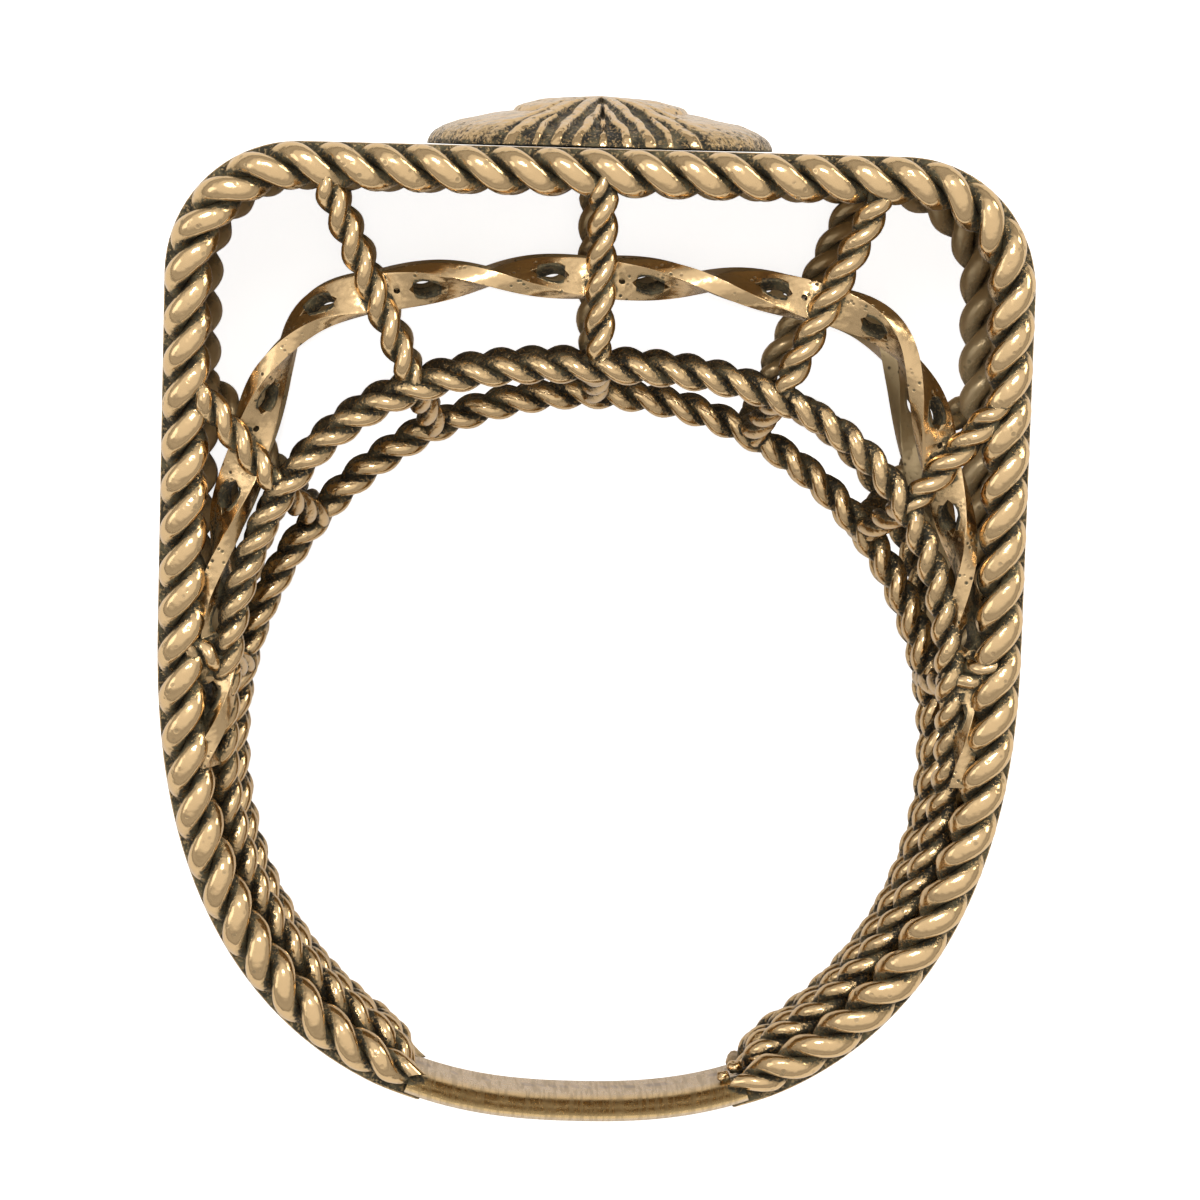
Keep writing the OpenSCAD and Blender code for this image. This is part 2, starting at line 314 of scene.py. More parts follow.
    def rib_turn(self, rib: int, share: float = 0.0) -> float:
        """Angle of a rib, 90 at the top, at a place from -0.5 at its head to 0.5 at its foot."""
        away = self.rib_at[abs(rib)] + share * self.rib_splay[abs(rib)]
        return 90 - math.copysign(away, rib)

    def half_turns(self, away: Array) -> Array:
        """Turn of the ribbon in degrees, 180 more for each rib that it passes, at angles from the top."""
        marks = [*self.rib_at, self.rib_at[-1] + self.end_bay]
        return np.sign(away) * np.interp(np.abs(away), marks, 180.0 * np.arange(len(marks)))


FORM = RingForm()


class Bench:
    """The maker's bench: the small jobs that every piece goes through."""

    @staticmethod
    def clear() -> None:
        """Deselects everything."""
        if bpy.context.object and bpy.context.object.mode != "OBJECT":
            bpy.ops.object.mode_set(mode="OBJECT")
        bpy.ops.object.select_all(action="DESELECT")

    @staticmethod
    def pick(*pieces: Mesh) -> None:
        """Selects pieces alone.

        Args:
            *pieces: The pieces, of which the first becomes the active one.
        """
        Bench.clear()
        for piece in pieces:
            piece.select_set(True)
        bpy.context.view_layer.objects.active = pieces[0]

    @staticmethod
    @contextmanager
    def editing(piece: Mesh, select: str = "SELECT") -> Iterator[None]:
        """Holds a piece in edit mode.

        Args:
            piece: The piece.
            select: What is done to the whole selection first, or nothing to leave it.

        Yields:
            Nothing, while the piece is edited.
        """
        Bench.pick(piece)
        bpy.ops.object.mode_set(mode="EDIT")
        if select:
            bpy.ops.mesh.select_all(action=select)
        yield
        bpy.ops.object.mode_set(mode="OBJECT")

    @staticmethod
    def take(name: str) -> Mesh:
        """Names the piece that was just added, and returns it."""
        bpy.context.object.name = bpy.context.object.data.name = name
        return bpy.context.object

    @staticmethod
    def ring(name: str, points: int, radius: float = 1.0, **settings: object) -> Mesh:
        """Adds a bare ring of points with this radius, placed as the settings say.

        Args:
            name: Its name.
            points: Number of its points.
            radius: Its radius.
            **settings: Where it lies and how it is turned.

        Returns:
            The ring.
        """
        Bench.clear()
        bpy.ops.mesh.primitive_circle_add(vertices=points, radius=radius, fill_type="NOTHING", **settings)
        return Bench.take(name)

    @staticmethod
    def strip(name: str, columns: int, rows: int) -> tuple[Mesh, Array]:
        """Adds a flat strip.

        Args:
            name: Its name.
            columns: Number of its points along.
            rows: Number of its points across.

        Returns:
            The strip, and each point's share of the way along and across.
        """
        Bench.clear()
        bpy.ops.mesh.primitive_grid_add(x_subdivisions=columns - 1, y_subdivisions=rows - 1, size=2)
        strip = Bench.take(name)
        return strip, (Bench.points(strip)[:, :2] + 1) / 2

    @staticmethod
    def fix(piece: Mesh, turn: Triple | None = None) -> Mesh:
        """Applies a piece's place, turn and scale to its mesh.

        Args:
            piece: The piece.
            turn: Its turn about x, y and z in radians, where it gets a new one.

        Returns:
            The piece.
        """
        if turn:
            piece.rotation_euler = turn
        Bench.pick(piece)
        bpy.ops.object.transform_apply(location=True, rotation=True, scale=True)
        return piece

    @staticmethod
    def finish_with(piece: Mesh, kind: str, **settings: object) -> Mesh:
        """Adds a modifier and applies it.

        Args:
            piece: The piece.
            kind: Blender's name for the modifier.
            **settings: The modifier's settings.

        Returns:
            The piece.
        """
        Bench.pick(piece)
        modifier = piece.modifiers.new(kind.title(), kind)
        for key, value in settings.items():
            setattr(modifier, key, value)
        bpy.ops.object.modifier_apply(modifier=modifier.name)
        return piece

    @staticmethod
    def join(name: str, pieces: list[Mesh]) -> Mesh:
        """Joins several pieces into one with this name.

        Args:
            name: Name of the whole.
            pieces: The pieces.

        Returns:
            The whole.
        """
        Bench.pick(*pieces)
        bpy.ops.object.join()
        return Bench.take(name)

    @staticmethod
    def points(piece: Mesh) -> Array:
        """A copy of a mesh's points.

        Args:
            piece: The piece.

        Returns:
            A row of x, y and z for each point.
        """
        flat = np.empty(len(piece.data.vertices) * 3, np.float32)
        piece.data.vertices.foreach_get("co", flat)
        return flat.reshape(-1, 3).astype(float)

    @staticmethod
    def place(piece: Mesh, points: Array) -> None:
        """Puts a mesh's points where they are wanted."""
        piece.data.vertices.foreach_set("co", points.astype(np.float32).ravel())
        piece.data.update()

    @staticmethod
    def note(piece: Mesh, name: str, values: Array) -> None:
        """Keeps a number for each point of a mesh under a name."""
        kept = piece.data.attributes.get(name) or piece.data.attributes.new(name, "FLOAT", "POINT")
        kept.data.foreach_set("value", values.astype(np.float32))

    @staticmethod
    def soften(piece: Mesh, thick: float, width: float, segments: int) -> None:
        """Thickens a flat mesh both ways and bevels its sharp edges.

        Args:
            piece: The flat mesh.
            thick: Its thickness.
            width: Width of the bevel.
            segments: Number of the bevel's steps.
        """
        Bench.finish_with(piece, "SOLIDIFY", thickness=thick, offset=0.0)
        Bench.finish_with(
            piece, "BEVEL", width=width, segments=segments, limit_method="ANGLE", angle_limit=SHARP
        )

    @staticmethod
    def draw_out(ring: Mesh, length: float, steps: int, turn: float = 0.0) -> Mesh:
        """Draws a ring of points out along z into a closed bar.

        Args:
            ring: The bar's section.
            length: Length of the bar.
            steps: Number of its steps along.
            turn: Turn about z on the way, in radians.

        Returns:
            The bar.
        """
        Bench.finish_with(
            ring, "SCREW", axis="Z", angle=turn, screw_offset=length, iterations=1,
            steps=steps, render_steps=steps,
        )
        return Bench.outwards(ring, fill=True)

    @staticmethod
    def outwards(piece: Mesh, fill: bool = False) -> Mesh:
        """Turns a mesh's faces outwards.

        Args:
            piece: The piece.
            fill: Whether its open ends are closed first.

        Returns:
            The piece.
        """
        with Bench.editing(piece):
            if fill:
                bpy.ops.mesh.fill_holes(sides=0)
                bpy.ops.mesh.select_all(action="SELECT")
            bpy.ops.mesh.normals_make_consistent(inside=False)
        return piece

    @staticmethod
    def bend_along(piece: Mesh, line: Array, radii: Array | None = None, level: bool = False) -> Mesh:
        """Bends a straight piece, which lies along x from 0, to follow a line.

        Args:
            piece: The straight piece.
            line: The line's points.
            radii: Thickness at each point, as a share of the piece's own.
            level: Whether the piece's own z stays as near the finger's axis as it can.

        Returns:
            The bent piece.
        """
        guide = bpy.data.curves.new("guide", "CURVE")
        guide.dimensions = "3D"
        guide.twist_mode = "Z_UP" if level else "MINIMUM"
        guide.use_radius = radii is not None
        guide.use_deform_bounds = False
        spline = guide.splines.new("POLY")
        spline.points.add(len(line) - 1)
        spline.points.foreach_set("co", np.column_stack([line, np.ones(len(line))]).ravel())
        if radii is not None:
            spline.points.foreach_set("radius", radii)
        holder = bpy.data.objects.new("guide", guide)
        bpy.context.scene.collection.objects.link(holder)
        bpy.context.view_layer.update()
        Bench.finish_with(piece, "CURVE", object=holder, deform_axis="POS_X")
        bpy.data.objects.remove(holder)
        bpy.data.curves.remove(guide)
        return piece


@dataclass(frozen=True)
class Strands:
    """How a rope is laid: its strands and their right-handed twist, in millimetres."""

    strand_r: float
    helix_r: float
    pitch: float
    sides: int
    steps: int
    count: int = 2

    def straight(self, name: str, length: float, phase: float) -> Mesh:
        """Lays the strands along x from 0.

        Args:
            name: Name of the rope.
            length: Length of the rope.
            phase: Turn of the strands at the start, in degrees.

        Returns:
            The straight rope, with the distance of each point from its middle noted as crown.
        """
        tilt = math.atan2(2 * math.pi * self.helix_r, self.pitch)
        turns = length / self.pitch
        aside, tilted = (self.helix_r, 0, 0), (-tilt, 0, 0)
        first = Bench.ring(name, self.sides, self.strand_r, location=aside, rotation=tilted)
        Bench.draw_out(Bench.fix(first), length, max(8, int(self.steps * turns)), 2 * math.pi * turns)
        strands = [first]
        for k in range(1, self.count):
            Bench.pick(first)
            bpy.ops.object.duplicate()
            strands.append(Bench.fix(bpy.context.object, (0, 0, 2 * math.pi * k / self.count)))
        rope = Bench.fix(Bench.join(name, strands), (0, 0, math.radians(phase)))
        Bench.fix(rope, (0, math.pi / 2, 0))
        out = np.linalg.norm(Bench.points(rope)[:, 1:], axis=1)
        Bench.note(rope, "crown", np.clip(out / (self.strand_r + self.helix_r), 0, 1))
        return rope

    def along(self, name: str, line: Array, radii: Array | None = None, phase: float = 0.0) -> Mesh:
        """Lays a rope with this name along a line, with its radii and its turn at the start."""
        return Bench.bend_along(self.straight(name, float(run_lengths(line)[-1]), phase), line, radii)


FRAME_LAY = Strands(strand_r=0.302, helix_r=0.294, pitch=2.11, sides=20, steps=30)
THIN_LAY = Strands(strand_r=0.214, helix_r=0.178, pitch=1.62, sides=14, steps=24)
LINING_LAY = Strands(strand_r=0.2, helix_r=0.15, pitch=2.5, sides=14, steps=32)


@dataclass
class Piece:
    """A finished mesh, how it was rubbed, the solid it stands for, and its finish."""

    body: Mesh
    rubbed: Rubbed
    node: str = "cage"
    finish: str = "rope"


@dataclass
class OpenFace:
    """One open face: its frame rope, mouth hoop, inner hoop, ribs and twisted ribbon."""

    form: RingForm
    face: Face
    # A rope's share of its thickness at its very end, and the length over which it grows from there
    frame_end: Pair = (0.55, 0.9)
    hoop_end: Pair = (0.7, 1.2)
    rib_end: Pair = (0.5, 0.55)
    frame_taper_l: float = 4.5
    # How far apart the points of a line are
    frame_step: float = 0.22
    hoop_step: float = 0.2
    rib_step: float = 0.15
    line_step: float = 0.1
    frame_phase: float = 15.0
    inner_phase: float = 70.0
    rib_phase: float = 53.0
    # How much of what stands over this level on a frame rope is worn away
    worn: float = 0.5
    worn_from: float = 0.43
    # At a rib's head and foot: how far short of the rope's line it ends, and how far it stands out
    rib_short: Pair = (0.06, -0.02)
    rib_rise: Pair = (0.22, 0.1)
    rib_sag: float = 0.05
    ribbon_w: float = 0.95
    ribbon_t: float = 0.42
    # Points across the ribbon, from an edge at 1 to the slit in its middle at 0
    ribbon_rows: tuple[float, ...] = (1.0, 0.86, 0.45, 0.0, 0.0, 0.45, 0.86, 1.0)
    ribbon_step: float = 0.12
    flat_share: float = 6.0
    eye_l: float = 0.95
    eye_w: float = 0.44
    eye_turn: float = 6.1
    eye_point: float = 0.35
    pin_r: float = 0.08
    pin_turn: float = 2.55
    pin_squeeze: float = 0.9
    # Angle over which the pinholes lie on the other side of their ribs
    pin_swap: float = 80.0
    # Crossings of an eye and of a pinhole, and how near a crossing comes to the ends and to another one
    eye_points: int = 17
    pin_points: int = 9
    end_clear: float = 0.05
    point_clear: float = 0.04

    @property
    def tag(self) -> str:
        """Name of the face, for its pieces' names."""
        return self.face.name.lower()

    def on_face(self, line: Array, step: float) -> Array:
        """A line of the upper face, evenly spaced and taken to this face."""
        return evenly(line, step) * (1.0, 1.0, float(self.face.value))

    def frame_rope(self) -> Piece:
        """Makes the thick rope that frames the face, with the tops of its strands worn nearly flat.

        Returns:
            The piece.
        """
        line = self.on_face(self.form.over_top(self.form.frame_half()), self.frame_step)
        radii = taper(line, self.form.end_taper, self.frame_taper_l) * taper(line, *self.frame_end)
        body = FRAME_LAY.along(f"frame_rope_{self.tag}", line, radii, self.frame_phase)
        spots = Bench.points(body)
        rise = spots[:, 2] * self.face.value - self.form.face_z(spots[:, 1])
        spots[:, 2] -= self.face.value * np.maximum(0.0, rise - self.worn_from) * self.worn
        Bench.place(body, spots)
        return Piece(body, Rubbed.FACE, finish="frame")

    def hoop(self, name: str, half: Array, phase: float = 0.0) -> Piece:
        """Makes a hoop of thin rope, named for its place, from the right half of its line.

        Args:
            name: Name of its place.
            half: Right half of its line.
            phase: Turn of its strands at the start, in degrees.

        Returns:
            The piece.
        """
        line = self.on_face(self.form.over_top(half), self.hoop_step)
        body = THIN_LAY.along(f"{name}_{self.tag}", line, taper(line, *self.hoop_end), phase)
        return Piece(body, Rubbed.FINGER, finish="hoop")

    def ribs(self) -> Piece:
        """Makes the ribs from the frame rope over the ribbon to the mouth hoop.

        Returns:
            The piece.
        """
        halves = self.form.frame_half(), self.form.mouth_half()
        ropes = []
        for k, rib in enumerate(self.form.ribs()):
            top, foot = (
                self.form.across(half, self.form.rib_turn(rib, share), short) + (0, 0, rise)
                for half, share, short, rise in zip(halves, (-0.5, 0.5), self.rib_short, self.rib_rise)
            )
            middle = (top + foot) / 2 - (0, 0, self.rib_sag)
            places = np.array([top, (top + middle) / 2, middle, (middle + foot) / 2, foot])
            line = self.on_face(places, self.rib_step)
            ropes.append(THIN_LAY.along(f"rib_{k}", line, taper(line, *self.rib_end), self.rib_phase * k))
        return Piece(Bench.join(f"ribs_{self.tag}", ropes), Rubbed.FACE)

    def ribbon_columns(self, at: Array, turn: Array) -> Array:
        """Where the ribbon's mesh is crossed, and how wide its eyes and pinholes are there.

        Args:
            at: Distance along the ribbon.
            turn: Angle of the ribbon's line, in degrees, 90 at the top.

        Returns:
            The crossings' distances, and the half width of the opening at each.
        """
        marks = []
        for rib in self.form.ribs():
            angle = self.form.rib_turn(rib)
            q = -np.cos(np.linspace(0, math.pi, self.eye_points))
            for side in (-1, 1):
                middle = np.interp(-(angle + side * self.eye_turn), -turn, at)
                width = np.maximum(0.0, self.eye_w / 2 * (1 - q * q) * (1 + self.eye_point * q * side))
                marks.append([middle + q * self.eye_l / 2, width])
            q = -np.cos(np.linspace(0, math.pi, self.pin_points))
            side = 1 if angle < self.pin_swap else -1
            middle = np.interp(-(angle + side * self.pin_turn), -turn, at)
            width = self.pin_squeeze * self.pin_r * np.sqrt(np.maximum(0.0, 1 - q * q))
            marks.append([middle + q * self.pin_r, width])
        spots, widths = np.concatenate(marks, axis=1)
        order = np.argsort(spots)
        order = order[(spots[order] > self.end_clear) & (spots[order] < at[-1] - self.end_clear)]
        spots, widths = spots[order], widths[order]
        plain = np.linspace(0.0, at[-1], round(at[-1] / self.ribbon_step) + 1)
        keep = np.min(np.abs(plain[:, None] - spots), axis=1) > self.point_clear
        keep &= np.interp(plain, spots, widths) < 1e-6
        keep[[0, -1]] = True
        spots = np.concatenate([spots, plain[keep]])
        widths = np.concatenate([widths, np.zeros(keep.sum())])
        order = np.argsort(spots)
        return np.array([spots[order], widths[order]])

    def ribbon(self) -> Piece:
        """Makes the flat ribbon behind the ribs, which turns over once in each bay and is cut by eyes.

        Returns:
            The piece.
        """
        line = evenly(self.form.over_top(self.form.ribbon_half()), self.line_step)
        at, turn = run_lengths(line), np.degrees(np.arctan2(line[:, 1], line[:, 0]))
        turn = np.where(turn < -90, turn + 360, turn)
        spots, widths = self.ribbon_columns(at, turn)
        rows = len(self.ribbon_rows)
        body, share = Bench.strip(f"ribbon_{self.tag}", len(spots), rows)
        column, row = np.rint(share * (len(spots) - 1, rows - 1)).astype(int).T
        half, hole = self.ribbon_w / 2, widths[column]
        side = np.where(row < rows // 2, -1.0, 1.0)
        y = side * (hole + (half - hole) * np.array(self.ribbon_rows)[row])
        Bench.place(body, np.stack([spots[column], y, np.zeros(len(y))], 1))
        with Bench.editing(body):
            bpy.ops.mesh.select_mode(type="FACE")
        for flat in body.data.polygons:
            flat.select = abs(flat.center.y) < 1e-5
        with Bench.editing(body, select=""):
            bpy.ops.mesh.delete(type="FACE")
            bpy.ops.mesh.select_mode(type="VERT")
            bpy.ops.mesh.select_all(action="SELECT")
            bpy.ops.mesh.remove_doubles(threshold=0.004)
        Bench.soften(body, self.ribbon_t, 0.035, 2)
        x, y, z = Bench.points(body).T
        edge = ease((np.abs(y) - half + 0.1) / 0.08)
        opening = np.interp(x, spots, widths)
        wall = (np.abs(y) < opening + 0.02) & (opening > 0.1)
        Bench.note(body, "crown", edge + (1 - edge) * np.where(wall, 0.1, 0.66))
        here = self.form.half_turns(np.interp(x, at, 90 - turn))
        twist = np.radians(here - self.flat_share * np.sin(np.radians(2 * here)))
        c, s = np.cos(twist), np.sin(twist)
        Bench.place(body, np.stack([x, y * c - z * s, y * s + z * c], 1))
        Bench.bend_along(body, line * (1.0, 1.0, float(self.face.value)), level=True)
        return Piece(Bench.outwards(body), Rubbed.ALL, finish="ribbon")

    def build(self) -> list[Piece]:
        """Makes every piece of the face.

        Returns:
            The pieces.
        """
        return [
            self.frame_rope(),
            self.hoop("mouth_hoop", self.form.mouth_half()),
            self.hoop("inner_hoop", self.form.inner_half(), self.inner_phase),
            self.ribs(),
            self.ribbon(),
        ]


@dataclass
class Lining:
    """The rope ribs that line the finger hole from one mouth hoop to the other."""

    form: RingForm
    phase: float = 31.0
    step: float = 0.15

    def build(self) -> list[Piece]:
        """Makes the lining's ribs as one piece.

        Returns:
            The piece, alone in a list.
        """
        halves = self.form.mouth_half(), self.form.inner_half()
        ropes = []
        for k, rib in enumerate(self.form.ribs()):
            mouth, inner = (self.form.across(half, self.form.rib_turn(rib, 0.5)) for half in halves)
            upper = np.array([mouth, (mouth + inner) / 2, inner])
            line = evenly(np.concatenate([upper, upper[::-1] * (1, 1, -1)]), self.step)
            ropes.append(LINING_LAY.along(f"lining_rib_{k}", line, phase=self.phase * k))
        return [Piece(Bench.join("lining_ribs", ropes), Rubbed.FINGER, finish="hoop")]


@dataclass
class OuterBand:
    """The plain sheet that closes the outside, whose edges lie behind the frame ropes."""

    form: RingForm
    sheet_t: float = 0.42
    inset: float = 0.02
    rows: int = 37
    step: float = 0.25
    # Angle by which it runs on below the end of the shank
    past: float = 0.3
    # How far its edges stop short of the ropes' middle, and how much more at its ends
    short: float = 0.2
    end_short: float = 0.3
    end_reach: float = 1.3
    # Share of the polish that is lost beside the ropes and the medallion, and how far out that reaches
    soil: float = 0.24
    rope_reach: float = 1.7
    disc_reach: float = 1.3

    def build(self) -> list[Piece]:
        """Makes the sheet from a flat strip that is thickened, softened at its edges and bent round.

        Returns:
            The piece, alone in a list.
        """
        middle = (self.inset + self.sheet_t) / 2
        line = self.form.half_outline(middle, self.form.shank_turn(0) + self.past)
        line = evenly(self.form.over_top(line), self.step)
        line = np.column_stack([line, np.zeros(len(line))])
        at = run_lengths(line)
        body, share = Bench.strip("outer_band", len(line), self.rows)
        along = share[:, 0] * at[-1]
        depth = self.form.face_z(np.interp(along, at, line[:, 1])) - self.short
        depth -= self.end_short * (1 - ease(np.minimum(along, at[-1] - along) / self.end_reach))
        Bench.place(body, np.stack([along, np.zeros(len(along)), (share[:, 1] * 2 - 1) * depth], 1))
        Bench.soften(body, self.sheet_t - self.inset, 0.06, 3)
        x, y, z = Bench.points(body).T
        edge = self.form.face_z(np.interp(x, at, line[:, 1])) - self.short - np.abs(z)
        from_disc = np.hypot(x - at[-1] / 2, z) - self.form.medal_r
        soiled = 1 - self.soil * (1 - ease(edge / self.rope_reach))
        soiled *= 1 - self.soil * (1 - ease(from_disc / self.disc_reach))
        Bench.note(body, "crown", np.where((edge < 0.03) & (y < 0.15), 0.05, soiled))
        Bench.bend_along(body, line, level=True)
        return [Piece(Bench.outwards(body), Rubbed.OUTSIDE, finish="band")]


@dataclass
class Shank:
    """The plain shank at the foot, with a ridge along each face."""

    form: RingForm
    thick: float = 0.78
    steps: int = 60
    step: float = 0.2
    # Half of its section from the outside to the inside: share of the half depth, share of the thickness
    section: Pairs = (
        (0.0, 0.04), (0.33, 0.05), (0.6, 0.09), (0.79, 0.17), (0.9, 0.25), (0.96, 0.31), (0.985, 0.37),
        (0.995, 0.43), (0.985, 0.48), (0.96, 0.55), (0.935, 0.64), (0.905, 0.76), (0.86, 0.87), (0.79, 0.94),
        (0.66, 0.98), (0.45, 1.0), (0.2, 1.0), (0.0, 1.0),
    )
    # Shares of the thickness between which each face was rubbed less, and how far it was rubbed there
    band: Pair = (0.38, 0.93)
    band_rubbed: float = 0.58

    def build(self) -> list[Piece]:
        """Makes the shank from its section, drawn out straight and bent round the foot.

        Returns:
            The piece, alone in a list.
        """
        half = self.form.foot(0.0, np.linspace(-90, 2 - self.form.shank_turn(0), 41))
        line = self.form.over_top(half)
        line = evenly(np.column_stack([line, np.zeros(len(line))]), self.step)
        whole = np.array(list(self.section) + [(-q, h) for q, h in self.section[-2:0:-1]])
        body = Bench.ring("shank", len(whole))
        ring = np.column_stack([whole * (self.form.shank_depth / 2, self.thick), np.zeros(len(whole))])
        Bench.place(body, ring)
        Bench.draw_out(body, float(run_lengths(line)[-1]), self.steps)
        spots = Bench.points(body)
        Bench.place(body, spots[:, ::-1])
        height = spots[:, 1] / self.thick
        low, high = self.band
        Bench.note(body, "crown", np.where((height > low) & (height < high), self.band_rubbed, 1.0))
        Bench.bend_along(body, line, level=True)
        return [Piece(Bench.outwards(body), Rubbed.ALL, finish="shank")]


@dataclass
class Solder:
    """The lumps of solder where the hoops and ropes run into the ends of the shank."""

    form: RingForm
    rough: float = 0.16
    grain: float = 0.22
    rubbed: float = 0.8
    # For each lump: place across, up and along the finger, half sizes, and turn in degrees
    lumps: tuple[tuple[float, ...], ...] = (
        (4.2, -8.3, 0.0, 0.72, 0.27, 1.95, 22.0), (3.66, -8.2, 1.85, 0.17, 0.15, 0.2, 0.0),
        (3.95, -7.98, 1.6, 0.2, 0.18, 0.24, 10.0), (4.5, -7.72, 1.4, 0.24, 0.2, 0.3, 30.0),
        (4.25, -8.25, 2.2, 0.42, 0.2, 0.3, 25.0), (4.1, -8.1, -1.8, 0.24, 0.2, 0.3, 15.0),
        (-4.2, -8.36, 0.0, 0.6, 0.24, 1.9, -22.0),
    )

    def build(self) -> list[Piece]:
        """Makes each lump from a sphere that is squeezed, turned and roughened.

        Returns:
            The lumps as one piece, alone in a list.
        """
        made = []
        grain = bpy.data.textures.new("solder_grain", "CLOUDS")
        grain.noise_scale, grain.noise_depth = self.grain, 2
        for *place, long, thick, deep, turn in self.lumps:
            Bench.clear()
            bpy.ops.mesh.primitive_ico_sphere_add(subdivisions=4, radius=1.0)
            lump = Bench.take("lump")
            lump.location, lump.scale = place, (long, thick, deep)
            Bench.fix(lump, (0, 0, math.radians(turn)))
            Bench.finish_with(lump, "DISPLACE", texture=grain, texture_coords="LOCAL", strength=self.rough)
            made.append(lump)
        body = Bench.join("solder", made)
        Bench.note(body, "crown", np.full(len(body.data.vertices), self.rubbed))
        return [Piece(body, Rubbed.ALL, finish="solder")]


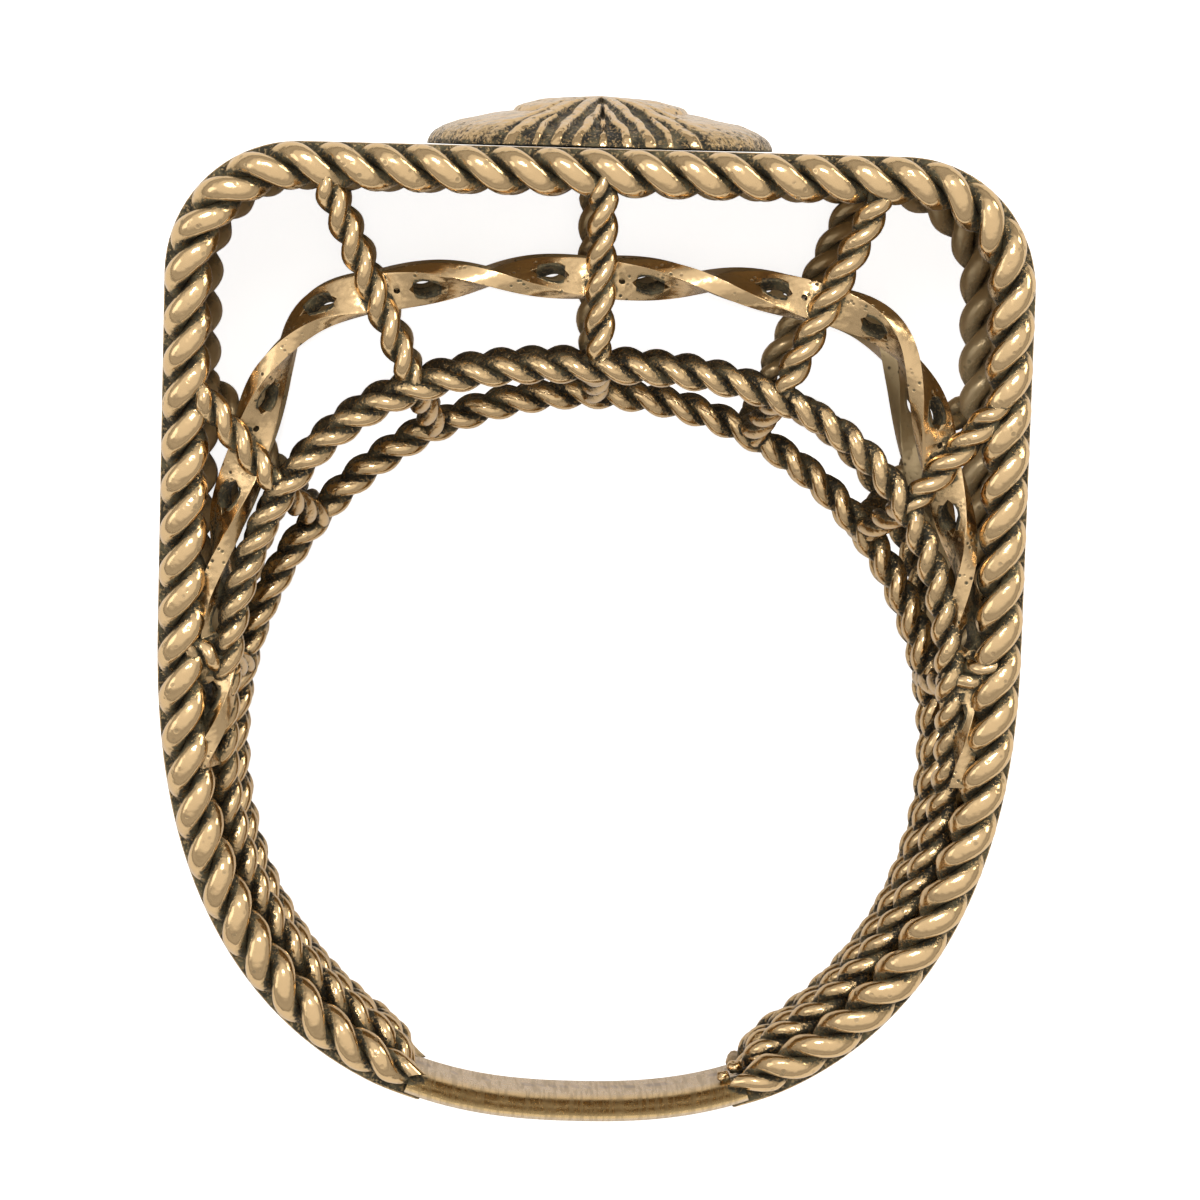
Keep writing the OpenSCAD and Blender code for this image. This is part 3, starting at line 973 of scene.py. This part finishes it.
@dataclass
class Medallion:
    """The low domed disc on top, whose ridges fan out towards both open faces."""

    form: RingForm
    gap: float = 0.04
    sectors: int = 480
    rings: int = 84
    middle: float = 0.012
    wall_rows: int = 8
    bulge: float = 0.02
    # Radius and height of the dome's outline, from the middle to the rim, in millimetres
    profile: Pairs = (
        (0.0, 1.3), (0.96, 1.24), (1.5, 1.18), (1.95, 1.07), (2.12, 1.0), (2.2, 0.88),
        (2.7, 0.8), (3.5, 0.63), (3.95, 0.46), (4.17, 0.33), (4.25, 0.24),
    )
    # The same towards the open faces, where the dome has no step
    front: Pairs = (
        (0.0, 1.3), (0.96, 1.24), (1.5, 1.17), (2.12, 1.02), (2.7, 0.84),
        (3.5, 0.63), (3.95, 0.46), (4.17, 0.33), (4.25, 0.24),
    )
    # Each ridge's angle from the open face at its inner end and at the rim, the radius where it starts,
    # and its half width
    ridges: tuple[tuple[float, float, float, float], ...] = (
        (0.0, 0.0, 3.0, 0.07), (1.5, 8.4, 1.7, 0.11), (13.0, 15.6, 0.1, 0.12),
        (25.0, 22.8, 2.6, 0.08), (30.0, 32.0, 0.1, 0.16),
    )
    # Half angle of the fan, over how many degrees it fades, and over how many the dome loses its step
    fan_half: float = 39.0
    fan_fade: float = 5.0
    dome_fade: float = 14.0
    dome_past: float = 12.0
    relief: float = 0.16
    wobble: float = 0.035
    lump_h: float = 0.012
    # Polish of a groove, of the plain parts, and how much of that is lost towards the rim
    groove_polish: float = 0.08
    plain_polish: float = 0.9
    rim_loss: float = 0.34

    def ridge(self, away: Array, angle: Array, off: Array) -> Array:
        """Where the ridges stand.

        Args:
            away: Distance from the middle.
            angle: Angle round the disc in degrees.
            off: Angle from the nearer open face.

        Returns:
            1 on a ridge and 0 in a groove, for each point.
        """
        ridge = np.zeros(len(off))
        for inner_turn, rim_turn, start, half in self.ridges:
            share = np.clip((away - start) / (self.form.medal_r - start), 0, 1)
            shift = self.wobble * np.sin(away * 5.3 + angle * 0.21 + rim_turn) * ease((away - 1.8) / 1.2)
            miss = np.abs(away * np.radians(off - (inner_turn + (rim_turn - inner_turn) * share)) + shift)
            width = half * (0.45 + 0.55 * ease((away - start) / 1.2))
            ridge = np.maximum(ridge, ease(1.6 - miss / width) * ease((away - start) / 0.25))
        return ridge

    def surface(self, radius: Array, angle: Array) -> tuple[Array, Array]:
        """Height and polish over the disc.

        Args:
            radius: Distance from the middle, as a share of the disc's radius.
            angle: Angle round the disc in degrees, 90 towards an open face.

        Returns:
            The height in millimetres, and how far each point was rubbed bright.
        """
        away = radius * self.form.medal_r
        off = np.abs((angle % 180) - 90)
        fan = ease((self.fan_half - off) / self.fan_fade) * ease((away - 0.12) / 0.5)
        side, front = (np.interp(away, *np.array(line).T) for line in (self.profile, self.front))
        dome = side + (front - side) * ease((self.fan_half + self.dome_past - off) / self.dome_fade)
        ridge = self.ridge(away, angle, off)
        a = np.radians(angle)
        lumps = np.sin(3 * a + 2.1 * away) * np.sin(5 * a + 1.0 - 3.4 * away)
        lumps += 0.6 * np.sin(11 * a + 4.0 * away)
        lumps *= self.lump_h * ease(away - 0.6) * ease((self.form.medal_r - away) / 0.5 + 0.3)
        plain = self.plain_polish - self.rim_loss * ease(away - 3.3)
        polish = fan * (self.groove_polish + (1 - self.groove_polish) * ridge) + (1 - fan) * plain
        return dome - self.relief * fan * (1 - ridge) + lumps, polish

    def build(self) -> list[Piece]:
        """Makes the disc from rings drawn in to its middle, raised to its relief, with a wall round it.

        Returns:
            The piece, alone in a list.
        """
        body = Bench.ring("medallion_relief", self.sectors)
        radii = np.linspace(1.0, self.middle, self.rings + 1).tolist()
        with Bench.editing(body):
            for was, now in zip(radii, radii[1:]):
                bpy.ops.mesh.extrude_edges_move()
                bpy.ops.transform.resize(value=(now / was, now / was, 1), center_override=(0, 0, 0))
            bpy.ops.mesh.edge_collapse()
        disc = Bench.points(body)
        turn = np.degrees(np.arctan2(disc[:, 1], disc[:, 0]))
        height, polish = self.surface(np.linalg.norm(disc[:, :2], axis=1), turn)
        Bench.place(body, np.column_stack([disc[:, :2] * self.form.medal_r, height]))
        with Bench.editing(body, select="DESELECT"):
            bpy.ops.mesh.select_mode(type="EDGE")
            bpy.ops.mesh.select_non_manifold()
            for _ in range(self.wall_rows):
                bpy.ops.mesh.extrude_edges_move()
            bpy.ops.mesh.select_mode(type="VERT")
        spots = Bench.points(body)
        wall = spots[len(disc):]
        share = (np.arange(len(wall)) // self.sectors + 1) / self.wall_rows
        rim, rim_polish = self.surface(np.ones(len(wall)), np.degrees(np.arctan2(wall[:, 1], wall[:, 0])))
        wall[:, :2] *= (1 + self.bulge * np.sin(share * math.pi / 2))[:, None]
        wall[:, 2] = rim * (1 - share)
        Bench.place(body, spots)
        Bench.note(body, "crown", np.concatenate([polish, rim_polish]))
        body.location = (0, self.form.top_h + self.gap, 0)
        Bench.fix(body, (-math.pi / 2, 0, 0))
        return [Piece(Bench.outwards(body, fill=True), Rubbed.ALL, node="medallion", finish="medallion")]


@dataclass
class Polishing:
    """Works out where the polishing wheel reached, from how open and how turned each point is; how turned it
    is also sets painted shade on sides that face away.
    """

    form: RingForm
    reach: float = 0.9
    lift: float = 0.012
    rays: int = 5
    ray_tilt: float = math.radians(48)

    def towards(self, piece: Piece, spots: Array) -> Array:
        """Direction that a piece was rubbed from.

        Args:
            piece: The piece.
            spots: Its points.

        Returns:
            A unit vector for each point.
        """
        lean = math.atan(self.form.slope)
        side = np.sign(spots[:, 2])
        down = np.full(len(spots), -math.sin(lean))
        face = np.stack([np.zeros(len(spots)), down, side * math.cos(lean)], 1)
        flat = spots * (1.0, 1.0, 0.0)
        out = flat / np.maximum(1e-6, np.linalg.norm(flat, axis=1))[:, None]
        ways = {Rubbed.FINGER: face * 0.75 - out, Rubbed.OUTSIDE: out}
        way = ways.get(piece.rubbed, face + out * 0.1)
        return way / np.linalg.norm(way, axis=1)[:, None]

    def openness(self, tree: BVHTree, spots: Array, normals: Array) -> Array:
        """How open each point is.

        Args:
            tree: The whole ring's faces.
            spots: The points.
            normals: The surface's normals at the points.

        Returns:
            The mean length of rays sent out from each point, as a share of the reach.
        """
        helper = np.where(np.abs(normals[:, 2:3]) < 0.8, [[0.0, 0.0, 1.0]], [[1.0, 0.0, 0.0]])
        u = np.cross(normals, helper)
        u /= np.maximum(1e-9, np.linalg.norm(u, axis=1))[:, None]
        v = np.cross(normals, u)
        start = spots + normals * self.lift
        ways = [normals]
        for turn in np.arange(self.rays) * 2 * math.pi / self.rays:
            aside = u * math.cos(turn) + v * math.sin(turn)
            ways.append(normals * math.cos(self.ray_tilt) + aside * math.sin(self.ray_tilt))
        total = np.zeros(len(spots))
        for way in ways:
            found = (tree.ray_cast(*ray, self.reach)[3] for ray in zip(start, way))
            total += [1.0 if length is None else length / self.reach for length in found]
        return total / len(ways)

    def mark(self, pieces: list[Piece]) -> None:
        """Notes on each point how open it is, how it faces, and its crown where it has none yet.

        Args:
            pieces: The pieces of the whole ring.
        """
        corners, faces = [], []
        for piece in pieces:
            base = len(corners)
            corners.extend(map(tuple, Bench.points(piece.body)))
            faces.extend(tuple(i + base for i in flat.vertices) for flat in piece.body.data.polygons)
        tree = BVHTree.FromPolygons(corners, faces)
        for piece in pieces:
            spots = Bench.points(piece.body)
            normals = np.empty(len(spots) * 3, np.float32)
            piece.body.data.vertex_normals.foreach_get("vector", normals)
            normals = normals.reshape(-1, 3).astype(float)
            facing = np.einsum("ij,ij->i", normals, self.towards(piece, spots))
            Bench.note(piece.body, "open", self.openness(tree, spots, normals))
            Bench.note(piece.body, "facing", facing * 0.5 + 0.5)
            if "crown" not in piece.body.data.attributes:
                Bench.note(piece.body, "crown", np.ones(len(spots)))


@dataclass(frozen=True)
class NodeBox:
    """Lays out shader nodes and feeds their sockets."""

    tree: bpy.types.NodeTree

    def add(self, kind: str, **settings: object) -> bpy.types.Node:
        """Adds a node.

        Args:
            kind: Blender's name for the node.
            **settings: Its settings.

        Returns:
            The node.
        """
        node = self.tree.nodes.new(kind)
        for key, value in settings.items():
            setattr(node, key, value)
        return node

    def feed(self, socket: Socket, given: object) -> None:
        """Links a socket, or sets it to a number or a colour.

        Args:
            socket: The input that is fed.
            given: An output, a number, or three or more numbers.
        """
        if isinstance(given, Socket):
            self.tree.links.new(given, socket)
        elif socket.type == "RGBA":
            socket.default_value = (*given, 1.0)
        else:
            socket.default_value = given

    def maths(self, operation: str, *given: Socket | float, clamp: bool = False) -> Socket:
        """Adds a Math node.

        Args:
            operation: What it does.
            *given: Its inputs.
            clamp: Whether its result is held between 0 and 1.

        Returns:
            Its output.
        """
        node = self.add("ShaderNodeMath", operation=operation, use_clamp=clamp)
        for socket, value in zip(node.inputs, given):
            self.feed(socket, value)
        return node.outputs[0]

    def plus(self, *given: Socket | float) -> Socket:
        """The sum of two values."""
        return self.maths("ADD", *given)

    def minus(self, *given: Socket | float) -> Socket:
        """The first of two values less the second."""
        return self.maths("SUBTRACT", *given)

    def times(self, *given: Socket | float) -> Socket:
        """The product of two values."""
        return self.maths("MULTIPLY", *given)

    def between(self, value: Socket, low: float, high: float) -> Socket:
        """A smooth step.

        Args:
            value: What is stepped.
            low: The value that gives 0.
            high: The value that gives 1.

        Returns:
            The step's output.
        """
        node = self.add("ShaderNodeMapRange", interpolation_type="SMOOTHSTEP", clamp=True)
        for socket, given in zip(node.inputs, (value, low, high)):
            self.feed(socket, given)
        return node.outputs[0]

    def noise(self, place: Socket, scale: float, detail: float, rough: float = 0.5) -> Socket:
        """Adds noise.

        Args:
            place: Where it is read.
            scale: Its waves in a metre.
            detail: How many finer waves are added.
            rough: How strong they are.

        Returns:
            Its value, which stays near 0.5.
        """
        node = self.add("ShaderNodeTexNoise")
        for name, given in (("Vector", place), ("Scale", scale), ("Detail", detail), ("Roughness", rough)):
            self.feed(node.inputs[name], given)
        return node.outputs[0]

    def mix(self, share: Socket, first: object, second: object) -> Socket:
        """Mixes two colours.

        Args:
            share: How much of the second there is.
            first: The first colour.
            second: The second colour.

        Returns:
            The mixed colour.
        """
        node = self.add("ShaderNodeMix", data_type="RGBA")
        feeds = (node.inputs["Factor"], share), (node.inputs[6], first), (node.inputs[7], second)
        for socket, given in feeds:
            self.feed(socket, given)
        return node.outputs[2]


def new_group(
    name: str, inputs: dict[str, float], outputs: tuple[str, ...]
) -> tuple[NodeBox, object, object]:
    """Starts a shader node group of numbers.

    Args:
        name: Name of the group.
        inputs: Names of its inputs, with their usual values.
        outputs: Names of its outputs.

    Returns:
        Its node box, the sockets that give its inputs, and those that take its outputs.
    """
    tree = bpy.data.node_groups.new(name, "ShaderNodeTree")
    for key, value in inputs.items():
        socket = tree.interface.new_socket(name=key, in_out="INPUT", socket_type="NodeSocketFloat")
        socket.default_value = value
    for key in outputs:
        tree.interface.new_socket(name=key, in_out="OUTPUT", socket_type="NodeSocketFloat")
    return NodeBox(tree), tree.nodes.new("NodeGroupInput").outputs, tree.nodes.new("NodeGroupOutput").inputs


def patina_group() -> bpy.types.NodeTree:
    """Builds the group that says where the dark patina was left; on sides that face away from the rubbing
    direction that dark is partly patina and partly painted shade.

    Returns:
        The group. It puts out the patina with its speckled border, the grooves without speckles, the soil
        beside the patina, and the film on what wasn't rubbed.
    """
    inputs = {
        "Crown": 1.0, "Open": 1.0, "Facing": 1.0, "Level": 0.5, "Facing Share": 0.5, "Speckle": 0.3,
        "Sparkle": 0.2, "Film Share": 1.0,
    }
    box, given, put = new_group("patina", inputs, ("Left", "Soil", "Film", "Groove"))
    place = box.add("ShaderNodeTexCoord").outputs["Object"]
    # Facing term: sides that face away from the rubbing direction get more dark, partly patina left there and
    # partly painted shade for the occlusion and dark reflections between strands
    turned = box.times(box.minus(given["Facing"], 1.0), given["Facing Share"])
    rubbed = box.plus(box.times(given["Crown"], given["Open"]), turned)
    deep = box.minus(rubbed, given["Level"])
    box.feed(put["Groove"], box.minus(1.0, box.between(deep, -0.12, 0.1)))
    speckles = box.times(box.minus(box.noise(place, 9500.0, 4.0, 0.7), 0.5), given["Speckle"])
    clouds = box.times(box.minus(box.noise(place, 1600.0, 3.0), 0.5), 0.22)
    over = box.plus(deep, box.plus(speckles, clouds))
    box.feed(put["Soil"], box.minus(1.0, box.between(over, -0.1, 0.3)))
    film = box.times(box.minus(1.0, box.between(given["Facing"], 0.12, 0.5)), given["Film Share"])
    box.feed(put["Film"], film)
    bare = box.times(box.between(box.noise(place, 12500.0, 3.0, 0.6), 0.535, 0.61), given["Sparkle"])
    left = box.times(box.minus(1.0, box.between(over, -0.09, 0.08)), box.minus(1.0, bare))
    box.feed(put["Left"], box.times(left, box.minus(1.0, box.times(film, 0.75))))
    return box.tree


def cast_skin_group() -> bpy.types.NodeTree:
    """Builds the group for the cast metal's skin.

    Returns:
        The group. It puts out the height of waves, grain, pits and strokes, and how pitted the skin is.
    """
    inputs = {"Groove": 0.0, "Waves": 1.0, "Pits": 0.4, "Pit Scale": 5200.0, "Brush": 0.0}
    box, given, put = new_group("cast_skin", inputs, ("Height", "Pitted"))
    place = box.add("ShaderNodeTexCoord").outputs["Object"]
    cells = box.add("ShaderNodeTexVoronoi", feature="F1")
    box.feed(cells.inputs["Vector"], place)
    box.feed(cells.inputs["Scale"], given["Pit Scale"])
    here = box.between(box.noise(place, 1300.0, 2.0), 0.5, 0.6)
    pit = box.minus(1.0, box.between(cells.outputs["Distance"], 0.12, 0.34))
    pit = box.times(box.times(pit, here), given["Pits"])
    waves = box.times(box.noise(place, 2300.0, 2.0), given["Waves"])
    coarse = box.plus(box.times(given["Groove"], 1.4), 0.08)
    height = box.plus(waves, box.times(box.noise(place, 15000.0, 3.0, 0.7), coarse))
    height = box.minus(height, box.times(pit, 0.8))
    drawn = box.add("ShaderNodeMapping")
    box.feed(drawn.inputs["Vector"], place)
    box.feed(drawn.inputs["Scale"], (1.0, 0.12, 0.05))
    brush = box.noise(drawn.outputs[0], 9000.0, 3.0)
    box.feed(put["Height"], box.plus(height, box.times(brush, given["Brush"])))
    streak = box.times(box.between(brush, 0.44, 0.62), given["Brush"])
    box.feed(put["Pitted"], box.maths("MAXIMUM", pit, box.times(streak, 0.26)))
    return box.tree


@dataclass(frozen=True)
class BronzeFinish:
    """A finish of antiqued bronze, whose values are named as the inputs of the shared groups."""

    name: str
    metal: Triple = (0.82, 0.575, 0.305)
    warm: Triple = (0.50, 0.345, 0.17)
    film: Triple = (0.50, 0.375, 0.20)
    patina: Triple = (0.056, 0.049, 0.031)
    moss: Triple = (0.17, 0.145, 0.082)
    level: float = 0.46
    # Facing share: how much darker the sides that face away are made, partly as patina and partly as painted
    # shade
    facing_share: float = 0.15
    speckle: float = 0.28
    sparkle: float = 0.35
    film_share: float = 1.0
    brush: float = 0.0
    waves: float = 1.8
    pits: float = 0.25
    pit_scale: float = 5200.0
    bump: float = 0.000018
    gloss: float = 0.17

    def place_group(self, box: NodeBox, group: bpy.types.NodeTree) -> bpy.types.Node:
        """Places a shared group in the material with this finish's values.

        Args:
            box: The material's node box.
            group: The group.

        Returns:
            The group's node.
        """
        node = box.add("ShaderNodeGroup", node_tree=group)
        for socket in node.inputs:
            socket.default_value = getattr(self, socket.name.lower().replace(" ", "_"), socket.default_value)
        return node

    def make(self, groups: dict[str, bpy.types.NodeTree]) -> bpy.types.Material:
        """Builds the material.

        Args:
            groups: The shared node groups by name.

        Returns:
            The material.
        """
        material = bpy.data.materials.new(self.name)
        material.use_nodes = True
        box = NodeBox(material.node_tree)
        box.tree.nodes.clear()
        shader = box.add("ShaderNodeBsdfPrincipled")
        box.feed(box.add("ShaderNodeOutputMaterial").inputs[0], shader.outputs[0])
        patina, skin = (self.place_group(box, groups[key]) for key in ("patina", "cast_skin"))
        for key in ("Crown", "Open", "Facing"):
            noted = box.add("ShaderNodeAttribute", attribute_name=key.lower())
            box.feed(patina.inputs[key], noted.outputs["Fac"])
        box.feed(skin.inputs["Groove"], patina.outputs["Groove"])
        dark = box.maths("MAXIMUM", patina.outputs["Left"], skin.outputs["Pitted"])
        film = patina.outputs["Film"]
        cloud = box.noise(box.add("ShaderNodeTexCoord").outputs["Object"], 2600.0, 3.0)
        tone = box.mix(box.between(cloud, 0.42, 0.66), self.patina, self.moss)
        bright = box.mix(film, box.mix(patina.outputs["Soil"], self.metal, self.warm), self.film)
        box.feed(shader.inputs["Base Color"], box.mix(dark, bright, tone))
        dull = box.plus(box.times(dark, 0.38), box.times(film, 0.18))
        scuff = box.times(box.minus(cloud, 0.5), 0.12)
        rough = box.maths("ADD", box.plus(dull, scuff), self.gloss, clamp=True)
        box.feed(shader.inputs["Roughness"], rough)
        matt = box.plus(box.times(dark, 0.45), box.times(film, 0.5))
        box.feed(shader.inputs["Metallic"], box.maths("SUBTRACT", 1.0, matt, clamp=True))
        bump = box.add("ShaderNodeBump")
        for key, given in (("Strength", 1.0), ("Distance", self.bump), ("Height", skin.outputs["Height"])):
            box.feed(bump.inputs[key], given)
        box.feed(shader.inputs["Normal"], bump.outputs[0])
        return material


FINISHES = {
    "frame": BronzeFinish(
        "frame_rope_bronze", film=(0.66, 0.5, 0.28), level=0.57, speckle=0.62, sparkle=0.85,
        pits=0.45, pit_scale=4200.0,
    ),
    "rope": BronzeFinish(
        "thin_rope_bronze", level=0.58, speckle=0.7, sparkle=0.75, film_share=0.7, pits=0.35
    ),
    # The hoops' sides that face away from the finger are made much darker, partly patina and partly painted
    # shade
    "hoop": BronzeFinish(
        "hoop_bronze", patina=(0.034, 0.029, 0.019), moss=(0.12, 0.1, 0.055), level=0.6, facing_share=0.62,
        speckle=0.9, sparkle=0.85, film_share=0.12, pits=0.35,
    ),
    "ribbon": BronzeFinish(
        "ribbon_bronze", level=0.42, facing_share=0.1, speckle=0.6, pits=1.0, pit_scale=5600.0,
        waves=2.2, gloss=0.25,
    ),
    "band": BronzeFinish(
        "outer_band_bronze", level=0.66, facing_share=0.1, speckle=0.75, sparkle=0.6, pits=0.35,
        waves=0.7, brush=0.4, gloss=0.22,
    ),
    "shank": BronzeFinish(
        "shank_bronze", metal=(0.83, 0.58, 0.275), warm=(0.5, 0.32, 0.125), film=(0.64, 0.49, 0.36),
        level=0.5, facing_share=0.05, pits=0.1, waves=1.0, brush=1.0, gloss=0.22,
    ),
    "solder": BronzeFinish(
        "solder_bronze", film=(0.45, 0.33, 0.2), level=0.42, speckle=0.5, pits=0.4, waves=1.5
    ),
    "medallion": BronzeFinish(
        "medallion_bronze", metal=(0.76, 0.53, 0.28), patina=(0.034, 0.03, 0.021), level=0.5,
        facing_share=0.1, speckle=1.0, sparkle=1.0, pits=0.9, pit_scale=4300.0, waves=3.4,
        bump=0.00003, gloss=0.14,
    ),
}


@dataclass
class Studio:
    """The pale floor, the soft light and the camera."""

    form: RingForm
    camera_at: Triple = (-4.2126, 13.6799, 227.7386)
    right: Triple = (0.99947816, 0.02636976, 0.01865581)
    up: Triple = (-0.02551195, 0.99866954, -0.04481394)
    back: Triple = (-0.01981272, 0.04431461, 0.99882114)
    lens: float = 271.904
    glow: float = 0.84
    floor_r: float = 1.5
    floor_z: float = -0.00002
    # For each light: name, place in metres, width, glare and colour
    lamps: tuple[tuple[str, Triple, float, float, Triple], ...] = (
        ("key_right", (0.30, 0.22, 0.235), 0.17, 4.6, (1.0, 0.96, 0.84)),
        ("fill_left", (-0.30, -0.08, 0.28), 0.2, 1.1, (1.0, 1.0, 1.0)),
        ("spark", (-0.03, 0.03, 0.44), 0.1, 16.0, (1.0, 1.0, 1.0)),
    )
    # Share of the way from the horizon to overhead, and how bright the room is there
    sky: Pairs = (
        (0.0, 0.22), (0.2, 0.46), (0.45, 0.5), (0.56, 0.4), (0.64, 0.44), (0.76, 0.86), (0.98, 0.9),
    )

    def floor(self) -> None:
        """Lays the pale floor."""
        Bench.clear()
        place = (0, 0, self.floor_z)
        bpy.ops.mesh.primitive_circle_add(vertices=96, radius=self.floor_r, fill_type="NGON", location=place)
        floor = Bench.take("floor")
        material = bpy.data.materials.new("pale_floor")
        material.use_nodes = True
        box = NodeBox(material.node_tree)
        shader = box.tree.nodes["Principled BSDF"]
        glow = box.times(box.add("ShaderNodeLightPath").outputs["Is Camera Ray"], self.glow)
        looks = {
            "Base Color": (0.9, 0.9, 0.9), "Roughness": 0.9, "Specular IOR Level": 0.1,
            "Emission Color": (1, 1, 1), "Emission Strength": glow,
        }
        for key, given in looks.items():
            box.feed(shader.inputs[key], given)
        floor.data.materials.append(material)

    def camera(self) -> None:
        """Sets the camera where the photograph was taken from."""
        settle = self.form.settle_matrix()
        turn = settle.to_3x3().normalized()
        data = bpy.data.cameras.new("camera")
        data.lens, data.sensor_width, data.clip_start, data.clip_end = self.lens, 36.0, 0.01, 10.0
        camera = bpy.data.objects.new("camera", data)
        bpy.context.scene.collection.objects.link(camera)
        axes = Matrix((self.right, self.up, self.back)).transposed()
        camera.matrix_world = Matrix.Translation(settle @ Vector(self.camera_at)) @ (turn @ axes).to_4x4()
        bpy.context.scene.camera = camera

    @staticmethod
    def light(name: str, place: Triple, size: float, glare: float, colour: Triple) -> None:
        """Adds a round soft light that points at the ring.

        Args:
            name: Name of the light.
            place: Where it stands, in metres.
            size: Its width.
            glare: How bright it looks in a mirror, where white paper in this room is about 0.7.
            colour: Its colour.
        """
        data = bpy.data.lights.new(name, "AREA")
        data.shape, data.size, data.color = "DISK", size, colour
        data.energy = glare * math.pi * math.pi * (size / 2) ** 2
        lamp = bpy.data.objects.new(name, data)
        lamp.location = place
        lamp.rotation_mode = "QUATERNION"
        lamp.rotation_quaternion = Vector(place).to_track_quat("Z", "Y")
        bpy.context.scene.collection.objects.link(lamp)

    def surroundings(self) -> None:
        """Fills the room with soft light, paler above than beside."""
        world = bpy.data.worlds.new("studio")
        bpy.context.scene.world = world
        world.use_nodes = True
        box = NodeBox(world.node_tree)
        back = box.tree.nodes["Background"]
        split = box.add("ShaderNodeSeparateXYZ")
        box.feed(split.inputs[0], box.add("ShaderNodeTexCoord").outputs["Generated"])
        tones = box.add("ShaderNodeValToRGB")
        ramp = tones.color_ramp
        for height, tone in self.sky:
            element = ramp.elements[0] if height == 0 else ramp.elements.new(height)
            element.position, element.color = height, (tone, tone * 0.98, tone * 0.96, 1)
        ramp.elements.remove(ramp.elements[-1])
        box.feed(tones.inputs[0], split.outputs[2])
        box.feed(back.inputs["Color"], tones.outputs[0])
        back.inputs["Strength"].default_value = 1.0

    def build(self) -> None:
        """Sets up the whole studio."""
        self.floor()
        self.camera()
        self.surroundings()
        for lamp in self.lamps:
            self.light(*lamp)
        bpy.context.scene.view_settings.view_transform = "Standard"


@dataclass
class OpenworkRing:
    """The whole ring, made piece by piece in its own upright frame and then laid down."""

    form: RingForm
    pieces: list[Piece] = field(default_factory=list)

    def build(self) -> None:
        """Makes every piece, works out the polish, and lays the ring down."""
        makers = [
            OpenFace(self.form, Face.UPPER), OpenFace(self.form, Face.LOWER), Lining(self.form),
            OuterBand(self.form), Shank(self.form), Solder(self.form), Medallion(self.form),
        ]
        for maker in makers:
            self.pieces.extend(maker.build())
        Polishing(self.form).mark(self.pieces)
        self.dress()

    def dress(self) -> None:
        """Gives each piece its finish, lays it down, hangs it under the root, hides the solid it stands for
        and logs its size.
        """
        groups = {"patina": patina_group(), "cast_skin": cast_skin_group()}
        materials = {key: finish.make(groups) for key, finish in FINISHES.items()}
        for piece in self.pieces:
            body = piece.body
            body.data.materials.clear()
            body.data.materials.append(materials[piece.finish])
            body.matrix_world = self.form.settle_matrix()
            Bench.fix(body)
            bpy.ops.object.shade_smooth_by_angle(angle=SMOOTH)
            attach(body, "root")
            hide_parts(piece.node)
            spots = Bench.points(body) / MM
            low, high = spots.min(0).round(4), spots.max(0).round(4)
            LOG.info("%s: %d faces, %s to %s mm", body.name, len(body.data.polygons), low, high)


def main() -> None:
    """Builds the ring and its studio, and logs each piece's size."""
    OpenworkRing(FORM).build()
    Studio(FORM).build()


if __name__ == "__main__":
    main()
